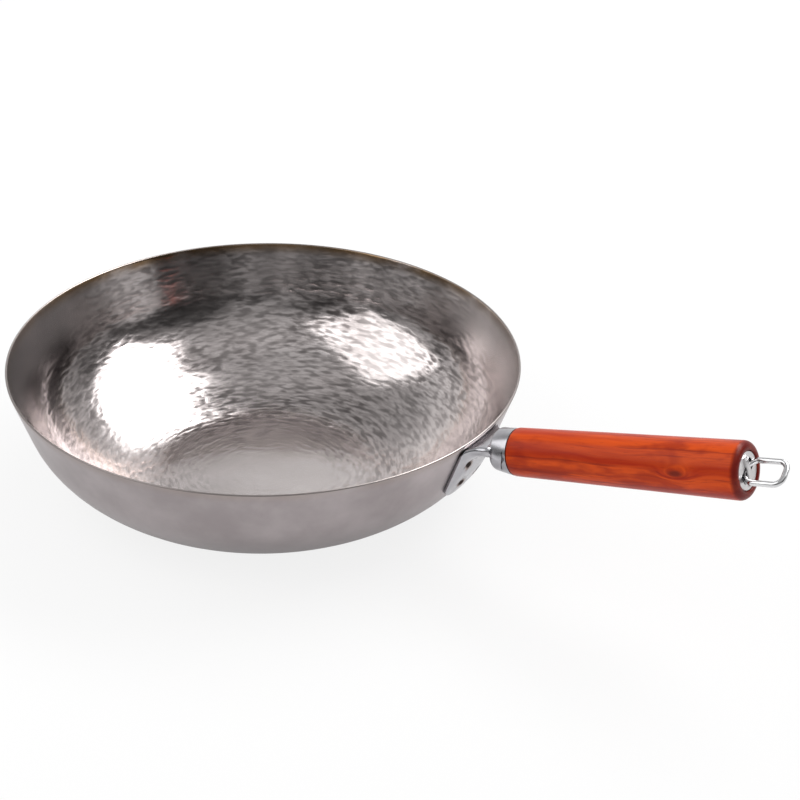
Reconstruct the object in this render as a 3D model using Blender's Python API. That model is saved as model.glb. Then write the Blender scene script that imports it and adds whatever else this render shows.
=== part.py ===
# Hammered titanium wok with a pressed steel handle bracket, a turned wooden grip
# and a hanging ring.
# Metres, +Z up. The origin is the centre of the flat base, on the surface that the
# wok stands on, and the handle points along +X.
import math

import bmesh
import bpy
from mathutils import Matrix, Vector

# Clearance
GAP = 0.0003

# Bowl
RIM_RADIUS = 0.165
BOWL_DEPTH = 0.086
BASE_RADIUS = 0.066
BOWL_WALL = 0.0015
LIP_ANGLE = math.radians(70.0)
LIP_LENGTH = 0.034
CURVE_FULLNESS = 0.55
BOWL_SEGMENTS = 72
CURVE_STEPS = 10

# Handle line: it leaves the bowl a little below the rim and rises
HANDLE_RISE = math.radians(14.7)
HANDLE_DROP = 0.0107

# Bracket, pressed from one sheet into a horn that flares onto the bowl
SHEET = 0.0015
PLATE_HALF_WIDTH = 0.0220
PLATE_TOP_CORNER = 0.0035
PLATE_SIDE = 0.0255
PLATE_TONGUE = 0.0130
NECK_TOP = 0.0077
NECK_BOTTOM = 0.0020
NECK_HALF_WIDTH = 0.0149
NECK_BEND = 0.0026
HORN_STANDOFF = 0.0040
HORN_FILLET = 0.0055
DRAWN_THINNING = 0.8

# Weld dimples, two on each side of the bracket
DIMPLE_RADIUS = 0.0042
DIMPLE_FLOOR_RADIUS = 0.0018
DIMPLE_FLOOR = 0.0013
DIMPLE_STEPS = 16
DIMPLE_ACROSS = (0.0118, 0.0088)
DIMPLE_BELOW_RIM = (0.0164, 0.0335)

# Socket, where the grip enters the bracket
SOCKET_START = 0.0134
SOCKET_RADIUS = 0.0144
SOCKET_FRONT_DEPTH = 0.0106
SOCKET_REAR_DEPTH = 0.0147
SOCKET_SHOULDER = 0.0016
SLIT_WIDTH = 0.0008
SLIT_BACK = 0.0089
SLIT_FOOT = 0.0026
SLIT_TOP = 0.0060
SECTION_POINTS = 40

# Grip
GRIP_START = 0.0254
GRIP_LENGTH = 0.1562
GRIP_FRONT_RADIUS = 0.0149
GRIP_REAR_RADIUS = 0.0175
GRIP_FRONT_ROUND = 0.0016
GRIP_REAR_ROUND = 0.0042
TENON_LENGTH = 0.0050

# Tie bolt and what it clamps
BOLT_RADIUS = 0.0030
BORE_CLEARANCE = 0.0005
BOLT_HEAD_RADIUS = 0.0050
BOLT_HEAD_HEIGHT = 0.0026
HEX_KEY = 0.0040
HEX_DEPTH = 0.0014
ANCHOR_THICKNESS = 0.0036
WASHER_RADIUS = 0.0060
WASHER_THICKNESS = 0.0010
CUP_WALL = 0.0011
CUP_RADIUS = 0.0082

# End plate with its bar
END_PLATE_RADIUS = 0.0116
END_PLATE_THICKNESS = 0.0012
END_PLATE_SINK = 0.0008
BAR_HALF_LENGTH = 0.0094
BAR_WIDTH = 0.0040
BAR_THICKNESS = 0.0012
BAR_BOW = 0.0010
BAR_ROLL = math.radians(6.0)
SLOT_CORNER = 0.0012

# Hanging ring, a closed loop of wire
WIRE_RADIUS = 0.0018
RING_LENGTH = 0.0263
RING_WIDTH = 0.0156
RING_EYE_RADIUS = 0.0060
RING_EYE_TURN = math.radians(50.0)
RING_SIDE_RADIUS = 0.0060
RING_CORNER_RADIUS = 0.0055
RING_ROLL = math.radians(30.0)
RING_SWING = math.radians(25.0)
WIRE_SIDES = 10


def clear_scene():
    for thing in list(bpy.data.objects):
        bpy.data.objects.remove(thing, do_unlink=True)


def material(name, colour, roughness, metallic):
    made = bpy.data.materials.new(name)
    made.use_nodes = True
    shader = made.node_tree.nodes["Principled BSDF"]
    shader.inputs["Base Color"].default_value = (*colour, 1.0)
    shader.inputs["Roughness"].default_value = roughness
    shader.inputs["Metallic"].default_value = metallic
    return made


def add_object(name, mesh, finish=None, parent=None, cutter=False):
    made = bpy.data.objects.new(name, mesh)
    bpy.context.scene.collection.objects.link(made)
    if finish is not None:
        mesh.materials.append(finish)
    made.parent = parent
    if cutter:
        made.hide_render = True
        made.display_type = "WIRE"
    return made


def to_mesh(name, shape, sharp_angle=math.radians(35.0)):
    bmesh.ops.recalc_face_normals(shape, faces=shape.faces)
    mesh = bpy.data.meshes.new(name)
    shape.to_mesh(mesh)
    shape.free()
    mesh.shade_smooth()
    mesh.set_sharp_from_angle(angle=sharp_angle)
    return mesh


def bridge(shape, first, second, closed=True):
    count = len(first)
    spans = count if closed else count - 1
    for index in range(spans):
        after = (index + 1) % count
        shape.faces.new((first[index], first[after], second[after], second[index]))


def loft(sections, ring=False):
    """Closed body through closed sections, capped at both ends unless it is a ring."""
    shape = bmesh.new()
    loops = [[shape.verts.new(point) for point in section] for section in sections]
    for first, second in zip(loops, loops[1:]):
        bridge(shape, first, second)
    if ring:
        bridge(shape, loops[-1], loops[0])
    else:
        shape.faces.new(list(reversed(loops[0])))
        shape.faces.new(loops[-1])
    return shape


def revolve(profile, segments, about="X"):
    """Turn a profile of (radius, along) points, which starts and ends on the axis or
    closes on itself, into a closed body."""
    shape = bmesh.new()
    loops = []
    for radius, along in profile:
        if radius < 1e-9:
            place = (along, 0.0, 0.0) if about == "X" else (0.0, 0.0, along)
            loops.append([shape.verts.new(place)])
            continue
        loop = []
        for index in range(segments):
            turn = 2.0 * math.pi * index / segments
            across = radius * math.cos(turn)
            up = radius * math.sin(turn)
            place = (along, across, up) if about == "X" else (across, up, along)
            loop.append(shape.verts.new(place))
        loops.append(loop)
    pairs = list(zip(loops, loops[1:]))
    if len(loops[0]) > 1:
        pairs.append((loops[-1], loops[0]))
    for first, second in pairs:
        if len(first) == 1 or len(second) == 1:
            tip, rim = (first[0], second) if len(first) == 1 else (second[0], first)
            for index in range(segments):
                shape.faces.new((tip, rim[index], rim[(index + 1) % segments]))
        else:
            bridge(shape, first, second)
    return shape


def boolean(target, tool, operation):
    made = target.modifiers.new(tool.name, "BOOLEAN")
    made.operation = operation
    made.solver = "EXACT"
    made.object = tool


# Bowl

def wall_curve(steps):
    """Outer wall from the edge of the flat base to the rim, as (radius, height)."""
    lip = Vector((math.cos(LIP_ANGLE), math.sin(LIP_ANGLE)))
    rim = Vector((RIM_RADIUS, BOWL_DEPTH))
    foot = Vector((BASE_RADIUS, 0.0))
    lip_start = rim - lip * LIP_LENGTH
    corner = lip_start - lip * (lip_start.y / lip.y)
    first = foot.lerp(corner, CURVE_FULLNESS)
    second = lip_start.lerp(corner, CURVE_FULLNESS)
    points = []
    for index in range(steps + 1):
        t = index / steps
        s = 1.0 - t
        points.append(s * s * s * foot + 3 * s * s * t * first + 3 * s * t * t * second
                      + t * t * t * lip_start)
    points.append(rim)
    return points


def offset_curve(points, distance):
    """The same curve moved to its right-hand side, which is outwards on the bowl."""
    moved = []
    for index, point in enumerate(points):
        before = points[max(index - 1, 0)]
        after = points[min(index + 1, len(points) - 1)]
        along = (after - before).normalized()
        if index == 0:
            along = Vector((1.0, 0.0))
        moved.append(point + Vector((along.y, -along.x)) * distance)
    return moved


def make_bowl(finish):
    outer = wall_curve(CURVE_STEPS)
    inner = offset_curve(outer, -BOWL_WALL)
    middle = (outer[-1] + inner[-1]) / 2
    across = outer[-1] - middle
    along = Vector((-across.y, across.x))
    profile = [Vector((0.0, 0.0))] + outer
    for degrees in (45.0, 90.0, 135.0):
        turn = math.radians(degrees)
        profile.append(middle + across * math.cos(turn) + along * math.sin(turn))
    profile += list(reversed(inner))
    profile.append(Vector((0.0, BOWL_WALL)))
    shape = revolve([(point.x, point.y) for point in profile], BOWL_SEGMENTS, about="Z")
    return add_object("wok_bowl", to_mesh("wok_bowl", shape), finish)


# The fine curve is used wherever a piece has to follow the bowl's wall.
WALL = wall_curve(48)


def wall_at(height):
    """Radius and outward slope vector (radial, vertical) of the outer wall."""
    for low, high in zip(WALL, WALL[1:]):
        if height <= high.y or high is WALL[-1]:
            share = (height - low.y) / (high.y - low.y)
            along = (high - low).normalized()
            return low.x + (high.x - low.x) * share, Vector((along.y, -along.x))


def on_wall(side, height, standoff):
    """World point above the outer wall, at a sideways place and a height."""
    radius, slope = wall_at(height)
    turn = math.asin(max(-1.0, min(1.0, side / radius)))
    reach = radius + slope.x * standoff
    return Vector((reach * math.cos(turn), reach * math.sin(turn), height + slope.y * standoff))


# Handle line

HANDLE_ALONG = Vector((math.cos(HANDLE_RISE), 0.0, math.sin(HANDLE_RISE)))
HANDLE_UP = Vector((-math.sin(HANDLE_RISE), 0.0, math.cos(HANDLE_RISE)))
HANDLE_START = Vector((RIM_RADIUS, 0.0, BOWL_DEPTH - HANDLE_DROP))


def on_handle(along, side, up):
    return HANDLE_START + HANDLE_ALONG * along + Vector((0.0, side, 0.0)) + HANDLE_UP * up


def plate_top_height():
    """Height at which the neck's top face runs into the bowl's wall."""
    low, high = 0.0, BOWL_DEPTH
    for _ in range(40):
        height = (low + high) / 2
        point = on_wall(0.0, height, GAP)
        above = (point - HANDLE_START).dot(HANDLE_UP) - NECK_TOP
        if above > 0.0:
            high = height
        else:
            low = height
    return (low + high) / 2


# Bracket outline on the wall and the matching outline of the neck. Both run from
# the top centre round one side to the free lower edge, in the same steps.

def corner_points(centre, radius, start, end, steps):
    return [(centre[0] + radius * math.cos(math.radians(start + (end - start) * k / steps)),
             centre[1] + radius * math.sin(math.radians(start + (end - start) * k / steps)))
            for k in range(1, steps + 1)]


def line_points(start, end, steps):
    return [(start[0] + (end[0] - start[0]) * k / steps,
             start[1] + (end[1] - start[1]) * k / steps) for k in range(1, steps + 1)]


def ellipse_points(centre, across, down, steps):
    """Quarter of an ellipse from its side to its lowest point."""
    points = []
    for k in range(1, steps + 1):
        turn = math.radians(90.0 * k / steps)
        points.append((centre[0] + across * math.cos(turn), centre[1] - down * math.sin(turn)))
    return points


def plate_outline(top):
    side = PLATE_HALF_WIDTH
    inner = side - PLATE_TOP_CORNER
    points = [(0.0, top)]
    points += line_points(points[-1], (inner, top), 4)
    points += corner_points((inner, top - PLATE_TOP_CORNER), PLATE_TOP_CORNER, 90, 0, 4)
    points += line_points(points[-1], (side, top - PLATE_TOP_CORNER - PLATE_SIDE), 6)
    points += ellipse_points((0.0, points[-1][1]), side, PLATE_TONGUE, 8)
    return points


def neck_outline():
    side = NECK_HALF_WIDTH
    inner = side - NECK_BEND
    points = [(0.0, NECK_TOP)]
    points += line_points(points[-1], (inner, NECK_TOP), 4)
    points += corner_points((inner, NECK_TOP - NECK_BEND), NECK_BEND, 90, 0, 4)
    points += ellipse_points((0.0, points[-1][1]), side, points[-1][1] + NECK_BOTTOM, 14)
    return points


def neck_root(side, up, standoff):
    """Point where a line along the neck comes to a given standoff from the wall."""
    low, high = -0.06, SOCKET_START
    for _ in range(40):
        along = (low + high) / 2
        point = on_handle(along, side, up)
        radius, slope = wall_at(point.z)
        clear = (math.hypot(point.x, point.y) - radius) * slope.x
        if clear > standoff:
            high = along
        else:
            low = along
    return on_handle((low + high) / 2, side, up)


def lifted(point, standoff):
    """The point, moved away from the wall where it is closer than the standoff."""
    radius, slope = wall_at(point.z)
    reach = math.hypot(point.x, point.y)
    move = standoff - (reach - radius) * slope.x
    if move <= 0.0:
        return point
    outwards = Vector((point.x * slope.x / reach, point.y * slope.x / reach, slope.y))
    return point + outwards * move


def half_rows(leg_steps, fillet_steps, neck_steps):
    """Rows of points from the wall to the socket, from the top centre round one side
    to the lowest point. Each row is a leg on the wall, a fillet and a leg on the neck."""
    plate = plate_outline(plate_top_height())
    neck = neck_outline()
    end = SOCKET_START + SHEET * 0.9
    rows = []
    for index, ((side, height), (neck_side, neck_up)) in enumerate(zip(plate, neck)):
        flat = min(1.0, max(0.0, (index - 2) / 6))
        start = on_wall(side, height, GAP + SHEET * flat)
        root = neck_root(neck_side, neck_up, HORN_STANDOFF)
        finish = on_handle(end, neck_side, neck_up)
        leg = (root - start).length
        neck_leg = (finish - root).length
        fillet_in = min(HORN_FILLET, leg * 0.7)
        fillet_out = min(HORN_FILLET, neck_leg * 0.7)
        before = root + (start - root) * fillet_in / max(leg, 1e-9)
        after = root + (finish - root) * fillet_out / neck_leg
        swell = HORN_STANDOFF * min(1.0, max(0.0, (index - 8) / 7))
        row = [start]
        for k in range(1, leg_steps):
            share = k / leg_steps
            row.append(lifted(start.lerp(before, share), swell * (1.0 - (1.0 - share) ** 3)))
        for k in range(fillet_steps):
            t = k / fillet_steps
            row.append(before.lerp(root, t).lerp(root.lerp(after, t), t))
        row += [after.lerp(finish, k / neck_steps) for k in range(neck_steps + 1)]
        rows.append(row)
    return rows


def sheet_normals(rows):
    """Normal at every point of the closed set of rows."""
    count = len(rows)
    last = len(rows[0]) - 1
    normals = []
    for index in range(count):
        line = []
        for step in range(last + 1):
            across = rows[(index + 1) % count][step] - rows[index - 1][step]
            along = rows[index][min(step + 1, last)] - rows[index][max(step - 1, 0)]
            line.append(along.cross(across).normalized())
        normals.append(line)
    return normals


def sheet_inside(rows):
    """Inner face of the sheet, which is drawn thinner round the plate's top corners."""
    normals = sheet_normals(rows)
    turned = -1.0 if normals[0][-1].dot(HANDLE_UP) > 0.0 else 1.0
    inside = []
    for index, (row, line) in enumerate(zip(rows, normals)):
        place = min(index, len(rows) - index)
        moved = []
        for step, (point, normal) in enumerate(zip(row, line)):
            drawn = max(0.0, 1.0 - abs(place - 5) / 4) * max(0.0, 1.0 - step / 8)
            moved.append(point + normal * turned * SHEET * (1.0 - DRAWN_THINNING * drawn))
        inside.append(moved)
    return inside


def make_sheet(finish, parent):
    """The horn: a lofted surface closed round the neck, with the sheet's thickness
    on its inside."""
    half = half_rows(3, 5, 2)
    rows = [[Vector((point.x, -point.y, point.z)) for point in row] for row in reversed(half[1:-1])]
    rows = half + rows
    shape = bmesh.new()
    outer = [[shape.verts.new(point) for point in row] for row in rows]
    inner = [[shape.verts.new(point) for point in row] for row in sheet_inside(rows)]
    for first, second in zip(outer, outer[1:] + outer[:1]):
        bridge(shape, first, second, closed=False)
    for first, second in zip(inner, inner[1:] + inner[:1]):
        bridge(shape, first, second, closed=False)
    bridge(shape, [row[0] for row in outer], [row[0] for row in inner])
    bridge(shape, [row[-1] for row in outer], [row[-1] for row in inner])
    return add_object("handle_bracket", to_mesh("handle_bracket", shape), finish, parent)


def dimple_places():
    """Centre and outward normal of each weld dimple on the bracket's surface. The
    normal is the mean over the dimple, so that its boss stays under the sheet."""
    rows = half_rows(24, 12, 2)
    normals = sheet_normals(rows)
    places = []
    for across, below in zip(DIMPLE_ACROSS, DIMPLE_BELOW_RIM):
        height = BOWL_DEPTH - below
        best = None
        for index in range(9, len(rows) - 1):
            for step in range(1, 36):
                point = rows[index][step]
                miss = math.hypot(point.y - across, point.z - height)
                if best is None or miss < best[0]:
                    best = (miss, index, step)
        _, index, step = best
        centre = rows[index][step]
        normal = Vector((0.0, 0.0, 0.0))
        for row, directions in zip(rows, normals):
            for point, direction in zip(row, directions):
                if (point - centre).length < DIMPLE_RADIUS * 1.3:
                    normal += direction if direction.x > 0.0 else -direction
        places.append((centre, normal.normalized()))
    return places


def cone(shape, centre, normal, near_radius, far_radius, out, depth):
    """A frustum along a normal, from above the surface down into the wall."""
    turn = Vector((0.0, 0.0, 1.0)).rotation_difference(normal).to_matrix().to_4x4()
    move = Matrix.Translation(centre + normal * (out - depth) / 2)
    bmesh.ops.create_cone(shape, cap_ends=True, segments=DIMPLE_STEPS, radius1=far_radius,
                          radius2=near_radius, depth=out + depth, matrix=move @ turn)


def dimple_depth(centre, normal):
    """Distance from the bracket's surface to the bowl's wall, along the normal."""
    depth = 0.0
    while depth < 0.02:
        point = centre - normal * depth
        if math.hypot(point.x, point.y) < wall_at(point.z)[0]:
            break
        depth += 0.0001
    return depth


def dimple_tools():
    bosses = bmesh.new()
    pits = bmesh.new()
    for centre, normal in dimple_places():
        depth = dimple_depth(centre, normal)
        for flip in (1.0, -1.0):
            place = Vector((centre.x, centre.y * flip, centre.z))
            facing = Vector((normal.x, normal.y * flip, normal.z))
            wall = SHEET * 0.8
            cone(bosses, place, facing, DIMPLE_RADIUS + wall * 0.6, DIMPLE_FLOOR_RADIUS + wall,
                 -SHEET * 0.7, depth + 0.001)
            cone(pits, place, facing, DIMPLE_RADIUS, DIMPLE_FLOOR_RADIUS, 0.0004, depth - DIMPLE_FLOOR)
    return to_mesh("dimple_bosses", bosses), to_mesh("dimple_pits", pits)


def bowl_clearance():
    """The space of the bowl, grown by the clearance, which the bracket keeps out of."""
    curve = offset_curve(wall_curve(CURVE_STEPS * 2), GAP)
    top = curve[-1] + (curve[-1] - curve[-2]).normalized() * 0.02
    profile = [(0.0, curve[0].y)] + [(point.x, point.y) for point in curve]
    profile += [(top.x, top.y), (0.0, top.y)]
    return to_mesh("bowl_clearance", revolve(profile, BOWL_SEGMENTS * 2, about="Z"))


# Socket

def socket_depth(along):
    """Depth of the socket below the handle line: shallow in front, round at the grip."""
    length = GRIP_START - GAP - SOCKET_START
    share = min(1.0, max(0.0, (along - SOCKET_START) / length))
    return SOCKET_FRONT_DEPTH + (SOCKET_REAR_DEPTH - SOCKET_FRONT_DEPTH) * share ** 0.7


def socket_section(along, inset, shape_at=None):
    """Half circle above the handle line and half ellipse below it."""
    depth = socket_depth(along if shape_at is None else shape_at) - inset
    radius = SOCKET_RADIUS - inset
    points = []
    for index in range(SECTION_POINTS):
        turn = 2.0 * math.pi * index / SECTION_POINTS
        up = math.sin(turn)
        points.append(Vector((along, radius * math.cos(turn), up * (radius if up > 0.0 else depth))))
    return points


def make_socket():
    """Cup with a closed front, which is joined to the bracket's neck."""
    start = SOCKET_START
    end = GRIP_START - GAP
    sections = []
    for degrees in (0.0, 30.0, 60.0):
        turn = math.radians(degrees)
        inset = SOCKET_SHOULDER * (1.0 - math.sin(turn))
        sections.append(socket_section(start + SOCKET_SHOULDER * (1.0 - math.cos(turn)), inset))
    for share in (0.0, 0.2, 0.45, 0.7, 0.88, 1.0):
        first = start + SOCKET_SHOULDER
        sections.append(socket_section(first + (end - first) * share, 0.0))
    for share in (1.0, 0.88, 0.7, 0.45, 0.2, 0.0):
        first = start + SHEET
        sections.append(socket_section(first + (end - first) * share, SHEET))
    return to_mesh("socket", loft(sections))


def slit_line():
    """Middle line of the slit as (along, up): it sweeps forward towards the bottom."""
    points = []
    for up in (SLIT_TOP, 0.0, -0.35 * SOCKET_RADIUS, -0.7 * SOCKET_RADIUS, -1.5 * SOCKET_RADIUS):
        side = math.sqrt(max(0.0, SOCKET_RADIUS ** 2 - up ** 2))
        sweep = (SOCKET_RADIUS - side) * 0.66 - up * 0.26
        along = max(SOCKET_START + SLIT_BACK - sweep, SOCKET_START + SLIT_FOOT)
        points.append((along, up))
    return points


def make_slit():
    """Bent cut across the lower half of the socket."""
    half = SLIT_WIDTH / 2
    wide = SOCKET_RADIUS * 1.5
    line = slit_line()
    outline = [(along - half, up) for along, up in line]
    outline += [(along + half, up) for along, up in reversed(line)]
    sections = [[Vector((along, side, up)) for along, up in outline] for side in (-wide, wide)]
    return to_mesh("slit", loft(sections))


def make_bracket(finish, axis):
    made = make_sheet(finish, None)
    socket = add_object("socket_form", make_socket(), parent=axis, cutter=True)
    bosses, pits = dimple_tools()
    boss_tool = add_object("dimple_boss_form", bosses, cutter=True)
    pit_tool = add_object("dimple_pit_cutter", pits, cutter=True)
    slit_tool = add_object("slit_cutter", make_slit(), parent=axis, cutter=True)
    bowl_tool = add_object("bowl_cutter", bowl_clearance(), cutter=True)
    boolean(made, socket, "UNION")
    boolean(made, boss_tool, "UNION")
    boolean(made, pit_tool, "DIFFERENCE")
    boolean(made, slit_tool, "DIFFERENCE")
    boolean(made, bowl_tool, "DIFFERENCE")
    return made


# Grip

GRIP_END = GRIP_START + GRIP_LENGTH
BORE_RADIUS = BOLT_RADIUS + BORE_CLEARANCE
ANCHOR_START = SOCKET_START + SHEET + GAP
ANCHOR_END = ANCHOR_START + ANCHOR_THICKNESS
TENON_START = max(GRIP_START - TENON_LENGTH, ANCHOR_END + GAP)


def wire_reach():
    """How far the wire reaches outwards from its lowest point while it is still under
    the bar, at rest and at both ends of its swing."""
    skew = RING_ROLL - BAR_ROLL
    reach = WIRE_RADIUS
    for swing in (-RING_SWING, 0.0, RING_SWING):
        for index in range(-8, 9):
            turn = math.pi / 16 * index
            inner = RING_EYE_RADIUS - WIRE_RADIUS * math.cos(turn)
            for step in range(25):
                across = inner * step / 24
                out = RING_EYE_RADIUS - math.sqrt(max(0.0, inner ** 2 - across ** 2))
                up = WIRE_RADIUS * math.sin(turn)
                swung = up * math.cos(swing) + out * math.sin(swing)
                under = abs(across * math.cos(skew)) - abs(swung * math.sin(skew))
                if under <= BAR_WIDTH / 2 + GAP:
                    reach = max(reach, out * math.cos(swing) - up * math.sin(swing))
    return reach


# The end plate's outer face and everything behind it, measured along the handle
END_FACE = GRIP_END - END_PLATE_SINK
PLATE_SEAT = END_FACE - END_PLATE_THICKNESS - GAP
BAR_INNER = END_FACE + BAR_BOW - BAR_THICKNESS / 2
RING_AXIS = BAR_INNER - GAP - wire_reach()
BOLT_HEAD_FACE = RING_AXIS - WIRE_RADIUS - 0.0004
BOLT_HEAD_SEAT = BOLT_HEAD_FACE - BOLT_HEAD_HEIGHT
CUP_FLOOR = BOLT_HEAD_SEAT - GAP - WASHER_THICKNESS - GAP
CUP_START = CUP_FLOOR - CUP_WALL
CUP_OUTER = CUP_RADIUS + CUP_WALL
COUNTERBORE_RADIUS = CUP_OUTER + GAP
COUNTERBORE_START = CUP_START - GAP


def circle_section(along, radius):
    points = []
    for index in range(SECTION_POINTS):
        turn = 2.0 * math.pi * index / SECTION_POINTS
        points.append(Vector((along, radius * math.cos(turn), radius * math.sin(turn))))
    return points


def grip_radius(along):
    share = (along - GRIP_START) / GRIP_LENGTH
    return GRIP_FRONT_RADIUS + (GRIP_REAR_RADIUS - GRIP_FRONT_RADIUS) * share


def make_grip(finish, axis):
    """Turned barrel whose tenon is shaved to the inside of the socket."""
    inset = SHEET + GAP
    sections = [socket_section(TENON_START, inset)]
    sections.append(socket_section((TENON_START + GRIP_START) / 2, inset))
    sections.append(socket_section(GRIP_START, inset, GRIP_START - GAP))
    for degrees in (0.0, 30.0, 60.0, 90.0):
        turn = math.radians(degrees)
        radius = GRIP_FRONT_RADIUS - GRIP_FRONT_ROUND * (1.0 - math.sin(turn))
        sections.append(circle_section(GRIP_START + GRIP_FRONT_ROUND * (1.0 - math.cos(turn)), radius))
    straight = GRIP_END - GRIP_REAR_ROUND
    for share in (0.25, 0.5, 0.75, 1.0):
        along = GRIP_START + GRIP_FRONT_ROUND + (straight - GRIP_START - GRIP_FRONT_ROUND) * share
        sections.append(circle_section(along, grip_radius(along)))
    for degrees in (22.5, 45.0, 67.5, 90.0):
        turn = math.radians(degrees)
        radius = grip_radius(straight) - GRIP_REAR_ROUND * (1.0 - math.cos(turn))
        sections.append(circle_section(straight + GRIP_REAR_ROUND * math.sin(turn), radius))
    made = add_object("wooden_grip", to_mesh("wooden_grip", loft(sections)), finish, axis)
    bore = [(0.0, TENON_START - 0.01), (BORE_RADIUS, TENON_START - 0.01),
            (BORE_RADIUS, COUNTERBORE_START), (COUNTERBORE_RADIUS, COUNTERBORE_START),
            (COUNTERBORE_RADIUS, PLATE_SEAT), (END_PLATE_RADIUS + GAP, PLATE_SEAT),
            (END_PLATE_RADIUS + GAP, GRIP_END + 0.01), (0.0, GRIP_END + 0.01)]
    cutter = add_object("bore_cutter", to_mesh("bore_cutter", revolve(bore, 32)), parent=axis, cutter=True)
    boolean(made, cutter, "DIFFERENCE")
    return made


# Tie bolt, anchor, washer and cup

def make_anchor(finish, axis):
    """Threaded plate welded into the front of the socket."""
    inset = SHEET + GAP
    shape = loft([socket_section(ANCHOR_START, inset), socket_section(ANCHOR_END, inset, ANCHOR_START)])
    made = add_object("anchor_plate", to_mesh("anchor_plate", shape), finish, axis)
    radius = BOLT_RADIUS + GAP
    hole = [(0.0, ANCHOR_START - 0.01), (radius, ANCHOR_START - 0.01),
            (radius, ANCHOR_END + 0.01), (0.0, ANCHOR_END + 0.01)]
    cutter = add_object("anchor_cutter", to_mesh("anchor_cutter", revolve(hole, 24)), parent=axis, cutter=True)
    boolean(made, cutter, "DIFFERENCE")
    return made


def make_tie_bolt(finish, axis):
    chamfer = BOLT_RADIUS * 0.25
    tip = ANCHOR_START + GAP
    edge = BOLT_HEAD_HEIGHT * 0.25
    profile = [(0.0, tip), (BOLT_RADIUS - chamfer, tip), (BOLT_RADIUS, tip + chamfer),
               (BOLT_RADIUS, BOLT_HEAD_SEAT), (BOLT_HEAD_RADIUS, BOLT_HEAD_SEAT),
               (BOLT_HEAD_RADIUS, BOLT_HEAD_FACE - edge), (BOLT_HEAD_RADIUS - edge, BOLT_HEAD_FACE),
               (0.0, BOLT_HEAD_FACE)]
    made = add_object("tie_bolt", to_mesh("tie_bolt", revolve(profile, 24)), finish, axis)
    key = bmesh.new()
    turn = Matrix.Rotation(math.radians(90.0), 4, "Y")
    place = Matrix.Translation((BOLT_HEAD_FACE, 0.0, 0.0))
    radius = HEX_KEY / 2 / math.cos(math.radians(30.0))
    bmesh.ops.create_cone(key, cap_ends=True, segments=6, radius1=radius, radius2=radius,
                          depth=HEX_DEPTH * 2, matrix=place @ turn)
    cutter = add_object("hex_cutter", to_mesh("hex_cutter", key), parent=axis, cutter=True)
    boolean(made, cutter, "DIFFERENCE")
    return made


def make_washer(finish, axis):
    start = CUP_FLOOR + GAP
    inner = BOLT_RADIUS + GAP
    profile = [(inner, start), (WASHER_RADIUS, start), (WASHER_RADIUS, start + WASHER_THICKNESS),
               (inner, start + WASHER_THICKNESS)]
    return add_object("bolt_washer", to_mesh("bolt_washer", revolve(profile, 32)), finish, axis)


def make_cup(finish, axis):
    """Pressed cup in the end of the grip, which the bolt head bears on."""
    hole = BOLT_RADIUS + GAP
    mouth = PLATE_SEAT
    round_over = CUP_WALL * 0.9
    profile = [(hole, CUP_START), (CUP_OUTER - round_over, CUP_START),
               (CUP_OUTER - round_over * 0.3, CUP_START + round_over * 0.3),
               (CUP_OUTER, CUP_START + round_over), (CUP_OUTER, mouth), (CUP_RADIUS, mouth),
               (CUP_RADIUS, CUP_FLOOR), (hole, CUP_FLOOR)]
    return add_object("end_cup", to_mesh("end_cup", revolve(profile, 40)), finish, axis)


# End plate

def slot_half_height():
    """Half height that lets the wire swing to its limit without touching the edge."""
    depth = END_FACE - RING_AXIS
    need = WIRE_RADIUS + GAP + depth * math.sin(RING_SWING)
    return need / math.cos(RING_SWING)


def slot_half_length():
    """Half length that clears the wire where it spreads out of the eye."""
    depth = END_FACE - RING_AXIS
    side = RING_EYE_RADIUS * math.sin(RING_EYE_TURN)
    out = RING_EYE_RADIUS * (1.0 - math.cos(RING_EYE_TURN))
    need = WIRE_RADIUS + GAP + (depth - out) * math.cos(RING_EYE_TURN)
    return side + need / math.sin(RING_EYE_TURN)


def rounded_outline(half_length, half_height, corner, steps=4):
    points = []
    quarters = ((1, 1, 0), (-1, 1, 90), (-1, -1, 180), (1, -1, 270))
    for across, up, start in quarters:
        for index in range(steps + 1):
            turn = math.radians(start + 90.0 * index / steps)
            points.append((across * (half_length - corner) + corner * math.cos(turn),
                           up * (half_height - corner) + corner * math.sin(turn)))
    return points


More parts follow.
